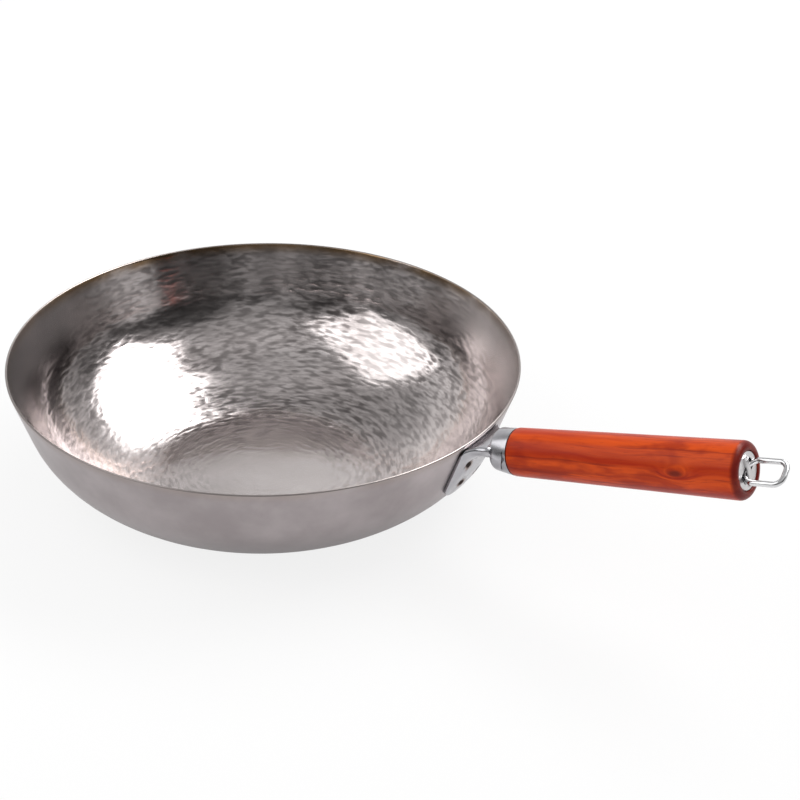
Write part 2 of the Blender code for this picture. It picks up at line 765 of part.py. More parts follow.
def make_end_plate(finish, axis):
    """Disc with a slot for the wire and a bowed bar over the slot."""
    edge = END_PLATE_THICKNESS * 0.3
    inner = END_FACE - END_PLATE_THICKNESS
    profile = [(0.0, inner), (END_PLATE_RADIUS, inner), (END_PLATE_RADIUS, END_FACE - edge),
               (END_PLATE_RADIUS - edge, END_FACE), (0.0, END_FACE)]
    made = add_object("end_plate", to_mesh("end_plate", revolve(profile, 48)), finish, axis)
    outline = rounded_outline(slot_half_length(), slot_half_height(), SLOT_CORNER)
    roll = Matrix.Rotation(RING_ROLL, 3, "X")
    layers = []
    for along in (inner - 0.005, END_FACE + 0.005):
        layers.append([roll @ Vector((along, across, up)) for across, up in outline])
    slot = add_object("slot_cutter", to_mesh("slot_cutter", loft(layers)), parent=axis, cutter=True)
    bar_roll = Matrix.Rotation(BAR_ROLL, 3, "X")
    sections = []
    steps = 14
    for index in range(steps + 1):
        up = BAR_HALF_LENGTH * (2.0 * index / steps - 1.0)
        middle = END_FACE + BAR_BOW * math.cos(math.pi / 2 * up / BAR_HALF_LENGTH)
        half = BAR_WIDTH / 2
        thick = BAR_THICKNESS / 2
        outline = ((-thick, -half), (thick * 0.55, -half), (thick, -half * 0.6), (thick, half * 0.6),
                   (thick * 0.55, half), (-thick, half))
        sections.append([bar_roll @ Vector((middle + out, across, up)) for out, across in outline])
    bar = add_object("bar_form", to_mesh("bar_form", loft(sections)), parent=axis, cutter=True)
    boolean(made, slot, "DIFFERENCE")
    boolean(made, bar, "UNION")
    return made


# Hanging ring

def ring_path():
    """Half of the wire's centre line, from the eye to the far end, as (out, across)."""
    turn = RING_EYE_TURN
    points = []
    for index in range(6):
        angle = turn * index / 5
        points.append((RING_EYE_RADIUS * (1.0 - math.cos(angle)), RING_EYE_RADIUS * math.sin(angle)))
    side_across = RING_SIDE_RADIUS * (1.0 - math.sin(turn))
    run = (RING_WIDTH / 2 - side_across - points[-1][1]) / math.cos(turn)
    start = (points[-1][0] + run * math.sin(turn), points[-1][1] + run * math.cos(turn))
    points.append(start)
    for index in range(1, 5):
        angle = turn + (math.pi / 2 - turn) * index / 4
        points.append((start[0] + RING_SIDE_RADIUS * (math.cos(turn) - math.cos(angle)),
                       start[1] + RING_SIDE_RADIUS * (math.sin(angle) - math.sin(turn))))
    corner_start = RING_LENGTH - RING_CORNER_RADIUS
    across = RING_WIDTH / 2
    points.append((corner_start, across))
    for index in range(1, 6):
        angle = math.pi / 2 * index / 5
        points.append((corner_start + RING_CORNER_RADIUS * math.sin(angle),
                       across - RING_CORNER_RADIUS * (1.0 - math.cos(angle))))
    return points


def make_ring(finish, axis):
    half = ring_path()
    other = [(out, -across) for out, across in reversed(half[1:])]
    path = [Vector((out, across, 0.0)) for out, across in half + other]
    count = len(path)
    sections = []
    for index, point in enumerate(path):
        along = (path[(index + 1) % count] - path[index - 1]).normalized()
        sideways = Vector((along.y, -along.x, 0.0))
        loop = []
        for side in range(WIRE_SIDES):
            turn = 2.0 * math.pi * side / WIRE_SIDES
            loop.append(point + sideways * WIRE_RADIUS * math.cos(turn)
                        + Vector((0.0, 0.0, WIRE_RADIUS * math.sin(turn))))
        sections.append(loop)
    made = add_object("hanging_ring", to_mesh("hanging_ring", loft(sections, ring=True)), finish, axis)
    made.location = (RING_AXIS, 0.0, 0.0)
    made.rotation_euler = (RING_ROLL, 0.0, 0.0)
    return made


def main():
    clear_scene()
    titanium = material("titanium", (0.56, 0.52, 0.50), 0.30, 1.0)
    pressed_steel = material("pressed_steel", (0.72, 0.72, 0.74), 0.28, 1.0)
    rosewood = material("rosewood", (0.42, 0.09, 0.03), 0.30, 0.0)
    zinc_steel = material("zinc_steel", (0.62, 0.63, 0.64), 0.35, 1.0)
    wire_steel = material("wire_steel", (0.70, 0.70, 0.72), 0.20, 1.0)

    axis = bpy.data.objects.new("handle_axis", None)
    bpy.context.scene.collection.objects.link(axis)
    axis.location = HANDLE_START
    axis.rotation_euler = (0.0, -HANDLE_RISE, 0.0)

    make_bowl(titanium)
    make_bracket(pressed_steel, axis)
    make_anchor(zinc_steel, axis)
    make_grip(rosewood, axis)
    make_tie_bolt(zinc_steel, axis)
    make_washer(zinc_steel, axis)
    make_cup(pressed_steel, axis)
    make_end_plate(pressed_steel, axis)
    make_ring(wire_steel, axis)

    hinge = on_handle(RING_AXIS, 0.0, 0.0)
    hinge_axis = Vector((0.0, math.cos(RING_ROLL), 0.0)) + HANDLE_UP * math.sin(RING_ROLL)
    print("ring hinge at", [round(value, 5) for value in hinge])
    print("ring hinge axis", [round(value, 5) for value in hinge_axis])


main()
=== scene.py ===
# %% [markdown]
# # A hammered wok with a wooden grip
# This lesson dresses the solid model of a wok for a studio picture. The solid model is
# loaded first and stays as it is. Each piece that shows then gets a finer form or a
# better finish, and rides on the body that it belongs to.

import math

import bmesh
import bpy
from mathutils import Matrix, Vector


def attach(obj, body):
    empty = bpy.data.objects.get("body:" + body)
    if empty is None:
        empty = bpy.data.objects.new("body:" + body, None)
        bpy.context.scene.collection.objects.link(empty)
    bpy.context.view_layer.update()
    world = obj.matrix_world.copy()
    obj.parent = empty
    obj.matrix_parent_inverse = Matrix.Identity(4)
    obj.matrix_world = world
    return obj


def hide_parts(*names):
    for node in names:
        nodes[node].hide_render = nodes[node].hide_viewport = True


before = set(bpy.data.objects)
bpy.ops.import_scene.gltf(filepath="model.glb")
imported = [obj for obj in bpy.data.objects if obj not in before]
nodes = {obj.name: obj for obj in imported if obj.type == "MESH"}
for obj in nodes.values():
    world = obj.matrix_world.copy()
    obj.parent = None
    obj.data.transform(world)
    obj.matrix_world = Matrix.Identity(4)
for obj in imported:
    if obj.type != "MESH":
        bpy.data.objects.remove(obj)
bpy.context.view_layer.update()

# %% [markdown]
# ## The camera
# The picture is taken from above the rim, a little to the handle's side, with a long
# lens, so that the ellipse of the rim is wide and the far side hardly shrinks. The
# camera is set by four measured numbers: where it stands, how far it is turned, how far
# it looks down and how far it is rolled. A lens three times as long as its sensor is
# wide gives the picture's width.

# %% Camera
CAMERA_PLACE = Vector((0.79728, -1.08809, 0.84269))
CAMERA_TURN = math.radians(32.5)
CAMERA_PITCH = math.radians(30.264)
CAMERA_ROLL = math.radians(1.0259)
SENSOR_WIDTH = 36.0
LENS_LENGTH = SENSOR_WIDTH * 3


def camera_matrix():
    """Where the camera stands and how it is turned, pitched and rolled."""
    ahead = Vector((0.0, math.cos(CAMERA_PITCH), -math.sin(CAMERA_PITCH)))
    above = Vector((0.0, math.sin(CAMERA_PITCH), math.cos(CAMERA_PITCH)))
    across = Vector((1.0, 0.0, 0.0))
    right = across * math.cos(CAMERA_ROLL) + above * math.sin(CAMERA_ROLL)
    up = above * math.cos(CAMERA_ROLL) - across * math.sin(CAMERA_ROLL)
    turn = Matrix((right, up, -ahead)).transposed().to_4x4()
    return Matrix.Translation(CAMERA_PLACE) @ Matrix.Rotation(CAMERA_TURN, 4, "Z") @ turn


lens = bpy.data.cameras.new("long_lens")
lens.lens = LENS_LENGTH
lens.sensor_width = SENSOR_WIDTH
camera = bpy.data.objects.new("camera", lens)
bpy.context.scene.collection.objects.link(camera)
camera.matrix_world = camera_matrix()
bpy.context.scene.camera = camera
print("camera stands", round(CAMERA_PLACE.length, 2), "m from the wok")

# %% [markdown]
# ## A small language for node trees
# A material is a tree of nodes, and wiring one by hand takes many lines. The class
# Value wraps one socket, so that a sum such as `1 - mask * 0.5` adds its own Math nodes.
# The class Tree has one method, node, for every other kind of node. The same two classes
# serve for materials and for Geometry Nodes. The class Finish is a tree that starts with
# a Principled shader and with the point of the surface that is being shaded.

# %% Node helpers
class Value:
    """A socket that can be used in sums."""

    def __init__(self, tree, socket):
        self.tree = tree
        self.socket = socket

    def math(self, operation, *others, clamp=False):
        """A Math node with this value first. Numbers are set and values are linked."""
        made = self.tree.nodes.new("ShaderNodeMath")
        made.operation = operation
        made.use_clamp = clamp
        for index, item in enumerate((self,) + others):
            if isinstance(item, Value):
                self.tree.links.new(item.socket, made.inputs[index])
            else:
                made.inputs[index].default_value = item
        return Value(self.tree, made.outputs[0])

    def constant(self, number):
        """A number as a value, for sums that start with one."""
        made = self.tree.nodes.new("ShaderNodeMath")
        made.operation = "ADD"
        made.inputs[0].default_value = number
        made.inputs[1].default_value = 0.0
        return Value(self.tree, made.outputs[0])

    def __add__(self, other):
        return self.math("ADD", other)

    def __radd__(self, other):
        return self.math("ADD", other)

    def __sub__(self, other):
        return self.math("SUBTRACT", other)

    def __rsub__(self, other):
        return self.constant(other).math("SUBTRACT", self)

    def __mul__(self, other):
        return self.math("MULTIPLY", other)

    def __rmul__(self, other):
        return self.math("MULTIPLY", other)

    def __truediv__(self, other):
        return self.math("DIVIDE", other)

    def __rtruediv__(self, other):
        return self.constant(other).math("DIVIDE", self)

    def __pow__(self, other):
        return self.math("POWER", other)

    def step(self, low, high):
        """0 below low, 1 above high and a smooth rise between them."""
        return Tree(self.tree).node("ShaderNodeMapRange", {"interpolation_type": "SMOOTHSTEP"}, {
            "Value": self, "From Min": low, "From Max": high})


class Tree:
    """A node tree of a material or of a modifier."""

    def __init__(self, tree):
        self.tree = tree

    def node(self, kind, settings=None, inputs=None, out=0):
        """A node of any kind. It gives one of its outputs, or all by name if out is None."""
        made = self.tree.nodes.new(kind)
        for name, value in (settings or {}).items():
            setattr(made, name, value)
        for name, value in (inputs or {}).items():
            self.feed(made.inputs[name], value)
        if out is None:
            return {socket.name: Value(self.tree, socket) for socket in made.outputs}
        return Value(self.tree, made.outputs[out])

    def feed(self, socket, value):
        """Links a value or another node's socket to a socket, or sets a number there."""
        if isinstance(value, Value):
            self.tree.links.new(value.socket, socket)
        elif isinstance(value, bpy.types.NodeSocket):
            self.tree.links.new(value, socket)
        else:
            socket.default_value = value

    def mix(self, share, first, second):
        """Mix of two colours."""
        return self.node("ShaderNodeMix", {"data_type": "RGBA"},
                         {0: share, 6: first, 7: second}, out=2)

    def noise(self, place, scale, detail=3.0, roughness=0.5):
        """Smooth noise from 0 to 1 at a place."""
        return self.node("ShaderNodeTexNoise", inputs={
            "Vector": place, "Scale": scale, "Detail": detail, "Roughness": roughness})

    def mapping(self, place, scale=(1.0, 1.0, 1.0), turn=(0.0, 0.0, 0.0), move=(0.0, 0.0, 0.0)):
        """A place that is scaled, then turned, then moved."""
        return self.node("ShaderNodeMapping", inputs={
            "Vector": place, "Scale": scale, "Rotation": turn, "Location": move})

    def split(self, place):
        """The three numbers of a place."""
        parts = self.node("ShaderNodeSeparateXYZ", inputs={0: place}, out=None)
        return [parts[axis] for axis in "XYZ"]

    def join(self, x, y, z):
        """A place from three numbers."""
        return self.node("ShaderNodeCombineXYZ", inputs={0: x, 1: y, 2: z})

    def attribute(self, name):
        """A number that the mesh's points carry."""
        return self.node("ShaderNodeAttribute", {"attribute_name": name}, out="Fac")

    def bump(self, height, distance):
        """A normal that leans as if the surface had this height, in units of distance."""
        return self.node("ShaderNodeBump", inputs={"Height": height, "Distance": distance})


class Finish(Tree):
    """A material, with its Principled shader."""

    def __init__(self, name):
        self.material = bpy.data.materials.new(name)
        self.material.use_nodes = True
        super().__init__(self.material.node_tree)
        self.shader = self.tree.nodes["Principled BSDF"]
        self.place = self.node("ShaderNodeTexCoord", out="Object")

    def surface(self, **inputs):
        """Feeds the shader's sockets, whose names are written with _ for a space."""
        for name, value in inputs.items():
            self.feed(self.shader.inputs[name.replace("_", " ")], value)
        return self.material


def colour(red, green, blue):
    """An opaque colour, in linear light."""
    return (red, green, blue, 1.0)


print("node helpers ready")

# %% [markdown]
# ## Sizes
# The fine pieces follow the solid model, so they need its main sizes. They are written
# here once, in metres. The handle's line starts at the rim and rises by a fixed angle,
# and the function on_handle gives a point by its distance along that line, sideways
# and up.

# %% Sizes
RIM_RADIUS = 0.165
BOWL_DEPTH = 0.086
BASE_RADIUS = 0.066
BOWL_WALL = 0.0015
BOWL_SEGMENTS = 400
LIP_ANGLE = math.radians(70.0)
LIP_LENGTH = 0.034
CURVE_FULLNESS = 0.55
GAP = 0.0003
HANDLE_RISE = math.radians(14.7)
HANDLE_BELOW_RIM = 0.0107
HANDLE_START = Vector((RIM_RADIUS, 0.0, BOWL_DEPTH - HANDLE_BELOW_RIM))
HANDLE_ALONG = Vector((math.cos(HANDLE_RISE), 0.0, math.sin(HANDLE_RISE)))
HANDLE_UP = Vector((-math.sin(HANDLE_RISE), 0.0, math.cos(HANDLE_RISE)))


def on_handle(along, side, up):
    """The point at a distance along the handle's line, sideways of it and above it."""
    return HANDLE_START + HANDLE_ALONG * along + Vector((0.0, side, 0.0)) + HANDLE_UP * up


def piece(name, shape, finish, sharp=180.0):
    """A smooth mesh object from a bmesh, with its finish. Edges above the angle sharp,
    in degrees, stay sharp."""
    bmesh.ops.recalc_face_normals(shape, faces=shape.faces)
    mesh = bpy.data.meshes.new(name)
    shape.to_mesh(mesh)
    shape.free()
    mesh.shade_smooth()
    if sharp < 180.0:
        mesh.set_sharp_from_angle(angle=math.radians(sharp))
    mesh.materials.append(finish)
    made = bpy.data.objects.new(name, mesh)
    bpy.context.scene.collection.objects.link(made)
    return made


def turned(profile, segments, place=None):
    """A closed body of revolution from (along, radius) points. Points on the axis
    become poles. The axis is Z, or runs through the points that place gives."""
    shape = bmesh.new()
    loops = []
    for along, radius in profile:
        on_axis = radius < 1e-7
        loop = []
        for index in range(1 if on_axis else segments):
            angle = 2.0 * math.pi * index / segments
            point = (radius * math.cos(angle), radius * math.sin(angle), along)
            loop.append(shape.verts.new(place(*point) if place else point))
        loops.append(loop)
    pairs = list(zip(loops, loops[1:]))
    if len(loops[0]) > 1:
        pairs.append((loops[-1], loops[0]))
    for first, second in pairs:
        for index in range(segments):
            after = (index + 1) % segments
            corners = [first[index % len(first)], first[after % len(first)],
                       second[after % len(second)], second[index % len(second)]]
            corners = [corner for at, corner in enumerate(corners) if corner is not corners[at - 1]]
            shape.faces.new(corners)
    return shape


print("handle starts at", [round(value * 1000, 1) for value in HANDLE_START], "mm")

# %% [markdown]
# ## The bowl's section
# The wall is the same curve as in the solid model: flat base, a full curve, then a
# straight lip at 70 degrees. The fine mesh takes many more points on it, and on the
# inside they are evenly spaced, because the hammer marks there need the same fineness
# everywhere.

# %% Bowl section
def wall_curve(steps, lip_steps):
    """The outside of the wall as (radius, height), from the base's edge to the rim."""
    lip = Vector((math.cos(LIP_ANGLE), math.sin(LIP_ANGLE)))
    rim = Vector((RIM_RADIUS, BOWL_DEPTH))
    foot = Vector((BASE_RADIUS, 0.0))
    lip_start = rim - lip * LIP_LENGTH
    corner = lip_start - lip * (lip_start.y / lip.y)
    first = foot.lerp(corner, CURVE_FULLNESS)
    second = lip_start.lerp(corner, CURVE_FULLNESS)
    points = []
    for index in range(steps):
        t = index / steps
        s = 1.0 - t
        points.append(s * s * s * foot + 3 * s * s * t * first + 3 * s * t * t * second
                      + t * t * t * lip_start)
    return points + [lip_start.lerp(rim, index / lip_steps) for index in range(lip_steps + 1)]


def inward(points, distance):
    """The curve at a distance inside another one."""
    moved = []
    for index, point in enumerate(points):
        along = (points[min(index + 1, len(points) - 1)] - points[max(index - 1, 0)]).normalized()
        if index == 0:
            along = Vector((1.0, 0.0))
        moved.append(point + Vector((-along.y, along.x)) * distance)
    return moved


def even(points, count):
    """The same curve with evenly spaced points."""
    runs = [0.0]
    for a, b in zip(points, points[1:]):
        runs.append(runs[-1] + (b - a).length)
    result = []
    at = 0
    for index in range(count + 1):
        run = runs[-1] * index / count
        while at < len(points) - 2 and runs[at + 1] < run:
            at += 1
        share = (run - runs[at]) / (runs[at + 1] - runs[at])
        result.append(points[at].lerp(points[at + 1], share))
    return result


CURVE_STEPS = 60
LIP_STEPS = 12
INNER_STEPS = 196
OUTER_STEPS = 26
OUTER = wall_curve(CURVE_STEPS, LIP_STEPS)
INNER = inward(OUTER, BOWL_WALL)
inner_line = even([Vector((0.0, BOWL_WALL))] + INNER, INNER_STEPS)
outer_line = even(OUTER, OUTER_STEPS)
print("section has", len(inner_line), "points inside and", len(outer_line), "outside")

# %% [markdown]
# ## The hammer pattern
# A smith planishes the inside in rings, blow beside blow. The blows leave short, narrow
# hollows with low ridges between them. Stretched noise has that shape: each point is
# measured in marks, which are longer along the ring than across it, and a slower noise
# shifts the rows, so that no seam shows. The same function will shape the mesh and
# sharpen its ridges in the finish. A second one says how strong the marks are: they fade
# smoothly on the lip, except at the far side, and they are worn on the flat base.

# %% Hammer pattern
MARK_LENGTH = 0.0125
MARK_WIDTH = 0.0042
MARK_SEED = 4.0
MARK_DEPTH = 0.00007
WAVE_DEPTH = 0.0006
ROW_WANDER = 1.3
SMOOTH_LIP = 0.016
FADE_LENGTH = 0.027
INSIDE_LENGTH = sum((b - a).length for a, b in zip(inner_line, inner_line[1:]))
FADE_END = INSIDE_LENGTH - SMOOTH_LIP
FADE_START = FADE_END - FADE_LENGTH
FLAT_START = 0.024
FLAT_END = BASE_RADIUS + 0.012


def blows(tree, place, run, length, width, seed):
    """Height of the ridges between the blows, from 0 to 1."""
    x, y, _ = tree.split(place)
    wander = tree.noise(place, 28.0, 2.0) * ROW_WANDER
    blow = tree.join(x / length + wander, y / length, run / width + wander + seed)
    return 1 - tree.noise(blow, 1.65, 0.8, 0.4).step(0.30, 0.60)


def fading(run, fade_start, fade_end):
    """1 before the start, 0 after the end, with no edge between."""
    share = 1 - (run - fade_start).math("DIVIDE", fade_end - fade_start, clamp=True)
    return share * share * (3 - share * 2)


def toward_far_side(x, y):
    """How far a place lies toward the side that is far in the picture, in metres."""
    return y * 0.84 - x * 0.54


def hammered(tree, place, run, fade_start, fade_end):
    """How strong the marks are: 1 in the bowl and less on the lip and on the flat base."""
    fade = fading(run, fade_start, fade_end)
    x, y, _ = tree.split(place)
    kept = toward_far_side(x, y).step(0.06, 0.13) * 0.84 + 0.08
    patchy = tree.noise(place, 16.0, 2.0).step(0.25, 0.7) * 0.4 + 0.6
    ragged = run + (tree.noise(place, 24.0, 2.0) - 0.5) * 0.045
    base = ragged.step(FLAT_START, FLAT_END) * 0.80 + 0.20
    return (fade * (1 - kept) + kept) * patchy * base


print("inside line is", round(INSIDE_LENGTH * 1000), "mm long")
print("marks fade from", round(FADE_START * 1000), "to", round(FADE_END * 1000), "mm")

# %% [markdown]
# ## The titanium finish
# Spun and hammered titanium has a satin gloss and a warm grey colour. Inside, the hammer
# leaves the surface bright; outside it stays duller and a little mauve. Heat leaves a
# thin straw-brown film along the rim, most on the far side. The colour is a mix of these
# by height and by noise, and the roughness follows the same noise, so that reflections
# break up as they do on the real metal. Painted shade darkens the grain and ridges of the
# marks, most on the far side. The lip is rubbed smooth; its colour is painted lit on the
# side of the handle and painted shaded opposite. Painted shade also darkens the wall on
# the left, the outside toward the base and the rounded rim edge.

# %% Titanium
BRIGHT_DARK = colour(0.66, 0.600, 0.592)
BRIGHT_LIGHT = colour(0.80, 0.740, 0.732)
# Painted shade for the grain and the ridges of the hammer marks.
GRAIN_PAINTED_SHADE = colour(0.26, 0.228, 0.222)
RIDGE_PAINTED_SHADE = colour(0.11, 0.094, 0.092)
# The worn lip's colour as painted shade on the left and painted light on the right.
WORN_LIP_PAINTED_SHADE = colour(0.43, 0.395, 0.390)
WORN_LIP_PAINTED_LIGHT = colour(0.87, 0.810, 0.795)
# Painted shade for the wall on the left.
LEFT_WALL_PAINTED_SHADE = colour(0.26, 0.235, 0.232)
DULL_DARK = colour(0.36, 0.320, 0.325)
DULL_LIGHT = colour(0.46, 0.415, 0.420)
# Painted shade for the outside near the base.
FOOT_PAINTED_SHADE = colour(0.19, 0.165, 0.168)
HEAT_FILM = colour(0.25, 0.150, 0.065)
# Painted shade for the rounded rim edge, which dims its highlight.
RIM_EDGE_PAINTED_SHADE = colour(0.27, 0.240, 0.232)
FILM_TOP = BOWL_DEPTH + 0.0005
FILM_START = FILM_TOP - 0.0075
FAR_RISE = (-0.02, 0.12)
BUMP_DEPTH = 0.00009


def toward_right_side(x, y):
    """How far a place lies toward the side that is right in the picture, in metres."""
    return x * 0.843 + y * 0.537


def inside_colour(made, run, marks, ridges, grain, cloud):
    """The hammered metal, with painted shade on its ridges and grain, worn smooth where the marks end,
    painted lit and shaded on the worn lip, and painted shade on the left wall.
    """
    x, y, _ = made.split(made.place)
    # Painted shade: the grain and ridges of the marks are darkened, most on the far side, in place of
    # their varied reflections.
    painted_contrast = marks * (0.50 + toward_far_side(x, y).step(*FAR_RISE) * 0.50)
    metal = made.mix(cloud.step(0.3, 0.75), BRIGHT_DARK, BRIGHT_LIGHT)
    metal = made.mix(grain.step(0.42, 0.60) * painted_contrast * 0.65, metal, GRAIN_PAINTED_SHADE)
    metal = made.mix(ridges * painted_contrast, metal, RIDGE_PAINTED_SHADE)
    # Painted light and shade: the smooth worn lip is painted lighter on the right side and darker on
    # the left.
    right = toward_right_side(x, y).step(-0.15, 0.14)
    metal = made.mix((1 - marks) * 0.85, metal, made.mix(right, WORN_LIP_PAINTED_SHADE, WORN_LIP_PAINTED_LIGHT))
    # Painted shade: the wall on the left is darkened in the colour.
    return made.mix((1 - right) * run.step(0.095, 0.130) * 0.45, metal, LEFT_WALL_PAINTED_SHADE)


def outside_colour(made, cloud):
    """The duller outside, with painted shade that darkens it toward the base."""
    _, _, z = made.split(made.place)
    metal = made.mix(cloud.step(0.3, 0.7), DULL_DARK, DULL_LIGHT)
    # Painted shade: the outside is darkened toward the base.
    return made.mix((1 - z.step(0.004, 0.052)) * 0.90, metal, FOOT_PAINTED_SHADE)


def heat_film(made, metal):
    """The straw-brown film just under the rim."""
    x, y, z = made.split(made.place)
    far = toward_far_side(x, y).step(*FAR_RISE)
    film = z.step(FILM_START, FILM_TOP) * (0.2 + far * 0.8)
    film = film * made.noise(made.place, 34.0, 3.0).step(0.2, 0.5)
    return made.mix(film * 0.9, metal, HEAT_FILM)


def titanium_finish():
    """The whole finish: colour, polish and the fine relief of blows and lathe lines."""
    made = Finish("hammered_titanium")
    x, y, z = made.split(made.place)
    radius = (x * x + y * y) ** 0.5
    inside = made.attribute("inside")
    run = made.attribute("run")
    cloud = made.noise(made.place, 22.0, 4.0, 0.6)
    fine = made.noise(made.place, 160.0, 3.0, 0.6)
    stretched = made.join(x / MARK_LENGTH, y / MARK_LENGTH, run / MARK_WIDTH * 1.5)
    grain = made.noise(stretched, 1.1, 4.0, 0.62)
    marks = hammered(made, made.place, run, FADE_START, FADE_END) * inside
    ridges = blows(made, made.place, run, MARK_LENGTH, MARK_WIDTH, MARK_SEED)
    bright = inside_colour(made, run, marks, ridges, grain, cloud)
    metal = heat_film(made, made.mix(inside, outside_colour(made, cloud), bright))
    # Painted shade: the rounded rim edge is darkened in the colour, which dims its highlight.
    metal = made.mix(inside * (1 - inside) * 3.6, metal, RIM_EDGE_PAINTED_SHADE)
    lip = inside * run.step(FADE_START, FADE_END) * (1 - marks)
    rough = 0.30 - inside * 0.19 + lip * 0.09 + cloud * 0.04 + fine * 0.03
    lathe = made.noise(made.join(radius * 900.0, z * 900.0, 0.0), 1.0, 2.0)
    height = (ridges + grain) * marks * 0.3 + fine * 0.08 + lathe * (1 - inside) * 0.12
    return made.surface(Base_Color=metal, Metallic=1 - lip * 0.20, Roughness=rough,
                        Normal=made.bump(height, BUMP_DEPTH))


titanium = titanium_finish()
print("titanium finish has", len(titanium.node_tree.nodes), "nodes")

# %% [markdown]
# ## The bowl's mesh
# The section is turned about the vertical axis. The rim gets five extra points, which
# round its thin edge, and one ring of points divides the flat base underneath. Two
# attributes are stored on the points for the next steps: run, the length along the
# inside line, and inside, which is 1 on the food side.

# %% Bowl mesh
FOOT_RING = 0.03


def bowl_profile():
    """The whole section as (radius, height) points, each with its inside value."""
    middle = (OUTER[-1] + INNER[-1]) / 2
    across = OUTER[-1] - middle
    along = Vector((-across.y, across.x))
    profile = [(point, 1.0) for point in inner_line]
    for degrees in range(150, 0, -30):
        turn = math.radians(degrees)
        profile.append((middle + across * math.cos(turn) + along * math.sin(turn), 0.5))
    profile += [(point, 0.0) for point in reversed(outer_line)]
    return profile + [(Vector((FOOT_RING, 0.0)), 0.0), (Vector((0.0, 0.0)), 0.0)]


def bowl_mesh():
    """The turned bowl, with run and inside stored on its points."""
    profile = bowl_profile()
    shape = turned([(point.y, point.x) for point, _ in profile], BOWL_SEGMENTS)
    made = piece("hammered_bowl", shape, titanium)
    runs, sides = [], []
    length = 0.0
    for index, (point, side) in enumerate(profile):
        if index:
            length += (point - profile[index - 1][0]).length
        count = 1 if index in (0, len(profile) - 1) else BOWL_SEGMENTS
        runs += [length] * count
        sides += [side] * count
    for name, values in (("run", runs), ("inside", sides)):
        made.data.attributes.new(name, "FLOAT", "POINT").data.foreach_set("value", values)
    return made


bowl = bowl_mesh()
print("bowl mesh has", len(bowl.data.vertices), "points")

# %% [markdown]
# ## The hammer marks
# Geometry Nodes moves every inside point of the bowl along its normal, by the height
# of the ridge that it lies on and by a slow wave, because a hand-hammered wall is never
# quite true. The tree's inputs are the sizes of a mark, so other marks need no new tree.

# %% Hammer tree
HAMMER_INPUTS = {
    "Mark Length": MARK_LENGTH, "Mark Width": MARK_WIDTH, "Mark Depth": MARK_DEPTH,
    "Wave Depth": WAVE_DEPTH, "Fade Start": FADE_START, "Fade End": FADE_END, "Seed": MARK_SEED}


def hammer_tree():
    """The Geometry Nodes tree that presses the marks into the bowl."""
    group = bpy.data.node_groups.new("hammer_marks", "GeometryNodeTree")
    face = group.interface
    face.new_socket("Geometry", in_out="INPUT", socket_type="NodeSocketGeometry")
    for name, value in HAMMER_INPUTS.items():
        made = face.new_socket(name, in_out="INPUT", socket_type="NodeSocketFloat")
        made.default_value = value
    face.new_socket("Finish", in_out="INPUT", socket_type="NodeSocketMaterial")
    face.new_socket("Geometry", in_out="OUTPUT", socket_type="NodeSocketGeometry")
    tree = Tree(group)
    size = tree.node("NodeGroupInput", out=None)
    place = tree.node("GeometryNodeInputPosition")
    run, inside = [tree.node("GeometryNodeInputNamedAttribute", {"data_type": "FLOAT"},
                             {"Name": name}) for name in ("run", "inside")]
    food_side = inside.step(0.6, 1.0)
    fade = (size["Fade Start"], size["Fade End"])
    marks = hammered(tree, place, run, *fade) * food_side
    ridges = blows(tree, place, run, size["Mark Length"], size["Mark Width"], size["Seed"])
    wave = (tree.noise(place, 17.0, 1.0) - 0.5) * size["Wave Depth"] * food_side * fading(run, *fade)
    lift = tree.node("ShaderNodeVectorMath", {"operation": "SCALE"}, {
        0: tree.node("GeometryNodeInputNormal"),
        "Scale": ridges * size["Mark Depth"] * marks + wave})
    moved = tree.node("GeometryNodeSetPosition", inputs={"Geometry": size["Geometry"], "Offset": lift})
    whole = tree.node("GeometryNodeRealizeInstances", inputs={"Geometry": moved})
    done = tree.node("GeometryNodeSetMaterial", inputs={
        "Geometry": whole, "Material": size["Finish"]})
    tree.node("NodeGroupOutput", inputs={0: done}, out=None)
    return group


def settle(thing, group, **values):
    """Runs a Geometry Nodes tree on a piece and keeps its result as a plain mesh."""
    made = thing.modifiers.new(group.name, "NODES")
    made.node_group = group
    for item in group.interface.items_tree:
        if item.in_out == "INPUT" and item.name in values:
            made[item.identifier] = values[item.name]
    graph = bpy.context.evaluated_depsgraph_get()
    mesh = bpy.data.meshes.new_from_object(thing.evaluated_get(graph), preserve_all_data_layers=True,
                                           depsgraph=graph)
    thing.modifiers.remove(made)
    thing.data = mesh
    return thing


settle(bowl, hammer_tree(), Finish=titanium)
bowl.data.shade_smooth()
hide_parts("wok_bowl")
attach(bowl, "wok")
print("bowl has", sum(len(face.vertices) - 2 for face in bowl.data.polygons), "triangles")

# %% [markdown]
# ## Pressed and zinc-plated steel
# The bracket is stainless sheet with a fine satin grain. Spot welding has burnt the
# middle of its four dimples brown. The hidden bolt, washer and plate are zinc-plated,
# which is a little bluer and more mottled. All are the same recipe with other numbers.
# A burnt spot is a round patch of dark scale, ragged at its edge, in a paler halo; its near-black core
# is burnt scale and also painted shade in the dimple's pit.

# %% Steel
BURNT_SPOTS = ((0.1609, 0.0098, 0.0677), (0.1549, 0.0076, 0.0512))
BURNT_HALO = colour(0.24, 0.17, 0.14)
# Burnt scale, and painted shade in the dimple's pit.
BURNT_CORE_AND_PIT_SHADE = colour(0.030, 0.015, 0.011)
HALO_REACH = (0.0022, 0.0054)
CORE_REACH = (0.0013, 0.0028)
SCALE_REACH = (0.0012, 0.0032)
RAGGED_EDGE = 0.0016
STEEL_BUMP_DEPTH = 0.000005
BRUSHED_GRAIN = (900.0, 120.0, 900.0)


